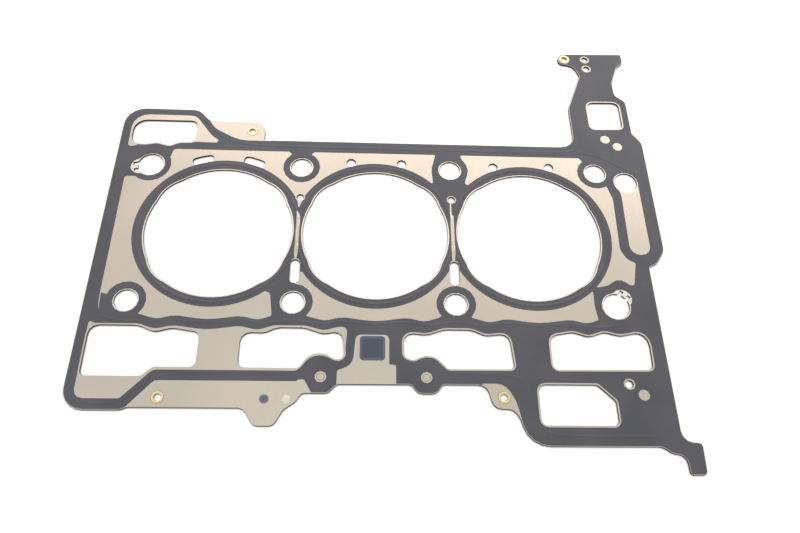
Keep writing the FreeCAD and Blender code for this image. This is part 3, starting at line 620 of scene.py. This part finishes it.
@dataclass
class PressedSteps:
    """The shallow half beads pressed into the sheet, which show as fine lines along the print."""

    width: float = 2.0
    height: float = 0.15
    # Across the ridge and up it, as shares of its width and height
    section: tuple[Pair, ...] = ((-0.5, 0.0), (-0.22, 0.75), (0.0, 1.0), (0.2, 0.7), (0.5, 0.0))
    # How many points the ridge takes to rise to its full height at each end
    run_in: int = 4
    lines: tuple[tuple[Pair, ...], ...] = (
        # Along the back strip, then up beside the tall end's window
        (
            (-84, 63), (-70, 61.4), (40, 61.2), (120, 61.2), (129, 64), (131.5, 74), (131.5, 96),
            (138, 114), (143, 126),
        ),
        # Up the left strip, then round the back left window
        (
            (-157.6, -84), (-157.6, 20), (-157.2, 74), (-153, 84.6), (-144, 87.3), (-118.6, 86.9),
            (-109.2, 81.7), (-96.3, 66.8), (-84, 63),
        ),
        # Down the left strip, then outside the front left window
        (
            (-157.6, -84), (-157.6, -99.6), (-151.6, -105), (-130.8, -105), (-116.1, -90.7),
            (-103.8, -87.9), (-48, -87.9),
        ),
        # Three rippled lines between the bores and the front windows
        (
            (-150, -56), (-138, -58.8), (-120, -58.8), (-112, -57), (-92, -59.5), (-72, -57),
            (-62, -60), (-46, -56.8),
        ),
        ((-46, -56.8), (-30, -60), (-18, -57), (0, -59.5), (18, -57), (30, -60), (46, -56.8)),
        ((46, -56.8), (62, -60), (74, -57), (92, -59.5), (110, -57), (122, -60), (138, -58)),
        # Outside the third front window, then round the front right one
        ((46, -87.4), (78, -87.4), (83, -96), (84, -110), (88, -118), (97, -121), (150, -121)),
        # Up the right strip
        ((157, -106), (158.5, -60), (158.6, -22)),
        # Behind the right bore, then past the oil hole to the right edge
        ((96, 59.6), (118, 60.6), (136, 61.4), (146, 57), (154, 51.4), (169, 45.4)),
    )

    def build(self) -> bpy.types.Object:
        """Make one mesh that holds a low ridge for each line.

        Returns:
            The new piece.
        """
        mesh = bmesh.new()
        for line in self.lines:
            self.add_ridge(mesh, softened(line))
        piece = smooth_piece("pressed_steps", mesh)
        piece.data.materials.append(BakedElastomer(name="baked_elastomer_step").build())
        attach(piece, "root")
        return piece

    def add_ridge(self, mesh: bmesh.types.BMesh, line: list[Pair]) -> None:
        """Add the ridge of one line, which rises from nothing at one end and sinks at the other.

        Args:
            mesh: the mesh that it goes into.
            line: the ridge's middle in millimetres.
        """
        last = len(line) - 1
        rows = []
        for i, (x, y) in enumerate(line):
            before, after = line[max(i - 1, 0)], line[min(i + 1, last)]
            along = Vector((after[0] - before[0], after[1] - before[1])).normalized()
            fade = min(1.0, min(i, last - i) / self.run_in)
            row = []
            for across, rise in self.section:
                offset = across * self.width
                place = Vector((x - along.y * offset, y + along.x * offset)) * MM
                z = PRINT_TOP + (rise * self.height * fade + SKIN) * MM
                row.append(mesh.verts.new((place.x, place.y, z)))
            rows.append(row)
        for row, following in zip(rows, rows[1:]):
            for (a, b), (c, d) in zip(zip(row, row[1:]), zip(following, following[1:])):
                mesh.faces.new((a, c, d, b))


class MarkFinish(Enum):
    """Which finish a press mark has, by the number of the piece's material: painted highlight for
    the dimple, painted shade for the rings.
    """

    PAINTED_HIGHLIGHT = 0
    PAINTED_SHADE = 1


@dataclass
class PressMarks:
    """Marks that the press tools leave on bare steel: a dimple with a painted highlight, and two
    boss rings with painted shade.
    """

    rise: float = 0.20
    segments: int = 36
    dimple_centre: Pair = (-46.0, -102.3)
    dimple_radius: float = 2.2
    # Shares of the dimple's radius and of the rise, from its rim to its flat floor
    dimple_section: tuple[Pair, ...] = ((1.0, 0.0), (0.8, 1.0), (0.45, 0.35), (0.1, 0.1))
    boss_centres: tuple[Pair, ...] = ((-28.6, -89.6), (28.1, -89.6))
    # Radii and shares of the rise, from the ring's outside to its inside
    boss_section: tuple[Pair, ...] = ((2.3, 0.0), (2.0, 0.5), (1.7, 0.0))
    # The dimple's paler steel is a painted highlight, and the rings' darker steel is painted shade
    # over their real relief
    highlight_painted_steel: RolledStainless = RolledStainless(
        name="stainless_painted_highlight", bright="#E4DCCE", shade="#CFC7B8"
    )
    shade_painted_steel: RolledStainless = RolledStainless(
        name="stainless_painted_shade", bright="#A8A092", shade="#989084"
    )

    def build(self) -> bpy.types.Object:
        """Make one mesh that holds the dimple and the two rings.

        Returns:
            The new piece.
        """
        mesh = bmesh.new()
        dimple = [(self.dimple_radius * share, rise) for share, rise in self.dimple_section]
        floor = self.add_rings(mesh, self.dimple_centre, dimple, MarkFinish.PAINTED_HIGHLIGHT)
        mesh.faces.new(floor).material_index = MarkFinish.PAINTED_HIGHLIGHT.value
        for centre in self.boss_centres:
            self.add_rings(mesh, centre, self.boss_section, MarkFinish.PAINTED_SHADE)
        piece = smooth_piece("press_marks", mesh)
        piece.data.materials.append(self.highlight_painted_steel.build())
        piece.data.materials.append(self.shade_painted_steel.build())
        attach(piece, "root")
        return piece

    def add_rings(
        self,
        mesh: bmesh.types.BMesh,
        centre: Pair,
        section: list[Pair] | tuple[Pair, ...],
        finish: MarkFinish,
    ) -> list[bmesh.types.BMVert]:
        """Add a round relief from its rim inwards.

        Args:
            mesh: the mesh that it goes into.
            centre: its middle in millimetres.
            section: radius in millimetres and share of the rise, from the rim inwards.
            finish: which of the piece's finishes it has.

        Returns:
            The innermost ring's corners.
        """
        rows = []
        for radius, share in section:
            z = SHEET_TOP + (share * self.rise + SKIN) * MM
            row = []
            for i in range(self.segments):
                turn = 2 * math.pi * i / self.segments
                x = centre[0] + radius * math.cos(turn)
                y = centre[1] + radius * math.sin(turn)
                row.append(mesh.verts.new((x * MM, y * MM, z)))
            rows.append(row)
        for outer, inner in zip(rows, rows[1:]):
            for i in range(self.segments):
                j = (i + 1) % self.segments
                face = mesh.faces.new((outer[i], outer[j], inner[j], inner[i]))
                face.material_index = finish.value
        return rows[-1]


# Studio


@dataclass(frozen=True)
class Lamp:
    """A soft rectangular lamp. Its place, aim and size are in metres, and its power in watts."""

    name: str
    place: Triple
    aim: Triple
    size: Pair
    power: float
    colour: str = "#FFFFFF"

    def hang(self) -> None:
        """Hang the lamp in its place, facing its aim."""
        data = bpy.data.lights.new(self.name, "AREA")
        data.shape = "RECTANGLE"
        data.size, data.size_y = self.size
        data.energy = self.power
        data.color = linear(self.colour)[:3]
        lamp = bpy.data.objects.new(self.name, data)
        lamp.location = self.place
        facing = Vector(self.aim) - Vector(self.place)
        lamp.rotation_euler = facing.to_track_quat("-Z", "Y").to_euler()
        bpy.context.scene.collection.objects.link(lamp)


@dataclass
class Studio:
    """White paper, soft lamps and the camera, placed where the photograph was taken from."""

    # Millimetres from the origin, and degrees about X, Y and Z
    camera_place: Triple = (-5.0, -217.22, 369.03)
    camera_turn: Triple = (27.8974, -2.7658, -0.4658)
    lens: float = 32.40
    sensor: float = 36.0
    nearest: float = 0.01
    # How strongly the sky lights the gasket, where 1 is white
    sky: float = 0.50
    # The paper's side, and how far it lies under the gasket, in metres
    paper_size: float = 8.0
    paper_drop: float = 0.00005
    # A wide warm lamp behind, a small one overhead and a large weak one at the left
    lamps: tuple[Lamp, ...] = (
        Lamp("lamp_back", (0.10, 0.58, 0.47), (0.02, 0.08, 0.0), (1.0, 0.4), 1.9, "#FFF1EC"),
        Lamp("lamp_top", (-0.14, 0.16, 1.2), (-0.04, -0.10, 0.0), (0.3, 0.3), 0.2),
        Lamp("lamp_left", (-0.95, 0.30, 0.8), (0.0, 0.0, 0.0), (0.8, 0.8), 0.3),
    )

    def build(self) -> None:
        """Make the paper, the sky, the lamps and the camera."""
        self.lay_paper()
        self.light_sky()
        for lamp in self.lamps:
            lamp.hang()
        self.place_camera()

    def lay_paper(self) -> None:
        """Lay the floor just under the gasket."""
        half = self.paper_size / 2
        corners = [(-half, -half), (half, -half), (half, half), (-half, half)]
        data = bpy.data.meshes.new("paper")
        data.from_pydata([(x, y, -self.paper_drop) for x, y in corners], [], [(0, 1, 2, 3)])
        paper = bpy.data.objects.new("paper", data)
        data.materials.append(StudioPaper().build())
        bpy.context.scene.collection.objects.link(paper)

    def light_sky(self) -> None:
        """Light the gasket evenly from all round. Seen straight or mirrored, the sky is white."""
        world = bpy.data.worlds.new("studio")
        bpy.context.scene.world = world
        world.use_nodes = True
        tree = world.node_tree
        tree.nodes.clear()
        seen = add_node(tree, "ShaderNodeLightPath").outputs
        links = {0: seen["Is Camera Ray"], 1: seen["Is Glossy Ray"]}
        either = add_node(tree, MATH, {"operation": "MAXIMUM"}, links).outputs["Value"]
        strength = add_node(tree, MAP_RANGE, {"To Min": self.sky, "To Max": 1.0}, {"Value": either})
        links = {"Strength": strength.outputs["Result"]}
        sky = add_node(tree, "ShaderNodeBackground", {"Color": linear("#FFFFFF")}, links)
        add_node(tree, "ShaderNodeOutputWorld", links={"Surface": sky.outputs["Background"]})

    def place_camera(self) -> None:
        """Place the camera where the photograph's own perspective puts it."""
        data = bpy.data.cameras.new("camera")
        data.lens = self.lens
        data.sensor_width = self.sensor
        data.clip_start = self.nearest
        camera = bpy.data.objects.new("camera", data)
        camera.location = Vector(self.camera_place) * MM
        camera.rotation_euler = Euler([math.radians(angle) for angle in self.camera_turn], "XYZ")
        bpy.context.scene.collection.objects.link(camera)
        bpy.context.scene.camera = camera


def main() -> None:
    """Dress the gasket, add what the press left on it, and set up the studio."""
    logging.basicConfig(level=logging.INFO, format="%(name)s: %(message)s")
    LayerStack().dress()
    EyeletSet().dress()
    PressedSteps().build()
    PressMarks().build()
    Studio().build()
    bpy.context.scene.view_settings.view_transform = "Standard"


if __name__ == "__main__":
    main()
